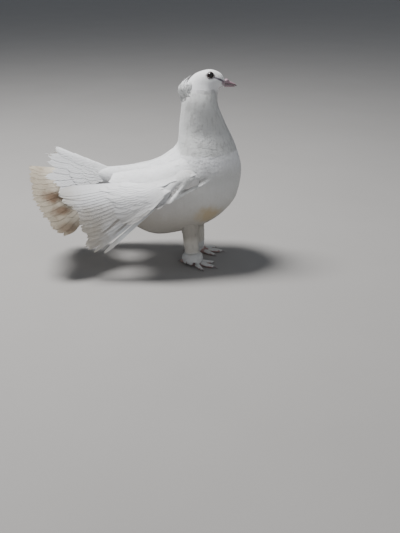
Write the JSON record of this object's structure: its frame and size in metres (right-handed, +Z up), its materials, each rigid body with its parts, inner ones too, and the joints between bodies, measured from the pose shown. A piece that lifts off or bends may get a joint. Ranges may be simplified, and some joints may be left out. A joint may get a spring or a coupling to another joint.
{
  "type": "fantail pigeon",
  "caption": "Life-size still model of a white fantail pigeon that stands on both feathered feet, with its wings hanging beside a lowered, spread tail.",
  "frame": {"origin": "on the floor, at the centre of the bird's overall box", "axes": "+X towards the beak, +Y to the bird's left, +Z up"},
  "size_m": [0.2825, 0.1436, 0.2606],
  "materials": {
    "plumage": "matt white feathers, greyer underneath",
    "tail_plumage": "matt cream-white feathers, soiled tan at the tips",
    "beak": "satin pinkish horn with a powdery white cere",
    "eye": "wet, near-black eye",
    "toe_skin": "dull pink scaled skin with pale claws"
  },
  "bodies": {
    "root": {"torso": "plumage", "neck": "plumage", "head": "plumage", "crest": "plumage", "beak_upper": "beak", "beak_lower": "beak", "eye_right": "eye", "eye_left": "eye", "wing_right": "plumage", "wing_left": "plumage", "tail": "tail_plumage", "leg_right": "plumage", "leg_left": "plumage", "foot_right": "toe_skin", "foot_left": "toe_skin"}
  },
  "joints": []
}
